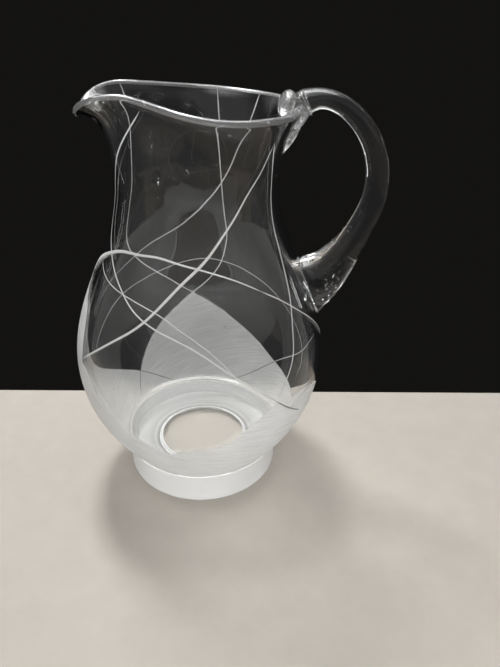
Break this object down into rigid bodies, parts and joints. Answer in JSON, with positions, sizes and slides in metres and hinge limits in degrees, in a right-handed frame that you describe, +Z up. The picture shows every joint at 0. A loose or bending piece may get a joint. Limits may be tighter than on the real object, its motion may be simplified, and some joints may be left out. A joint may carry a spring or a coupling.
{
  "type": "glass jug",
  "caption": "Footed jug of clear blown glass with a round belly, waisted neck, pulled spout, drawn rod handle, frosted fields and long sweeping engraved lines.",
  "frame": {"origin": "centre of the foot's underside, on the table", "axes": "+Z up; spout towards -X, handle towards +X; the same on both sides of the XZ plane"},
  "size_m": [0.1816, 0.15, 0.2378],
  "materials": {
    "body_glass": "clear blown glass with fire-polished rim, fine white engraved lines and sandblasted matte fields",
    "foot_glass": "sandblasted matte glass, even and white",
    "handle_glass": "clear solid drawn glass, fire-polished"
  },
  "bodies": {
    "root": {"body": "body_glass", "foot": "foot_glass", "handle": "handle_glass"}
  },
  "joints": []
}
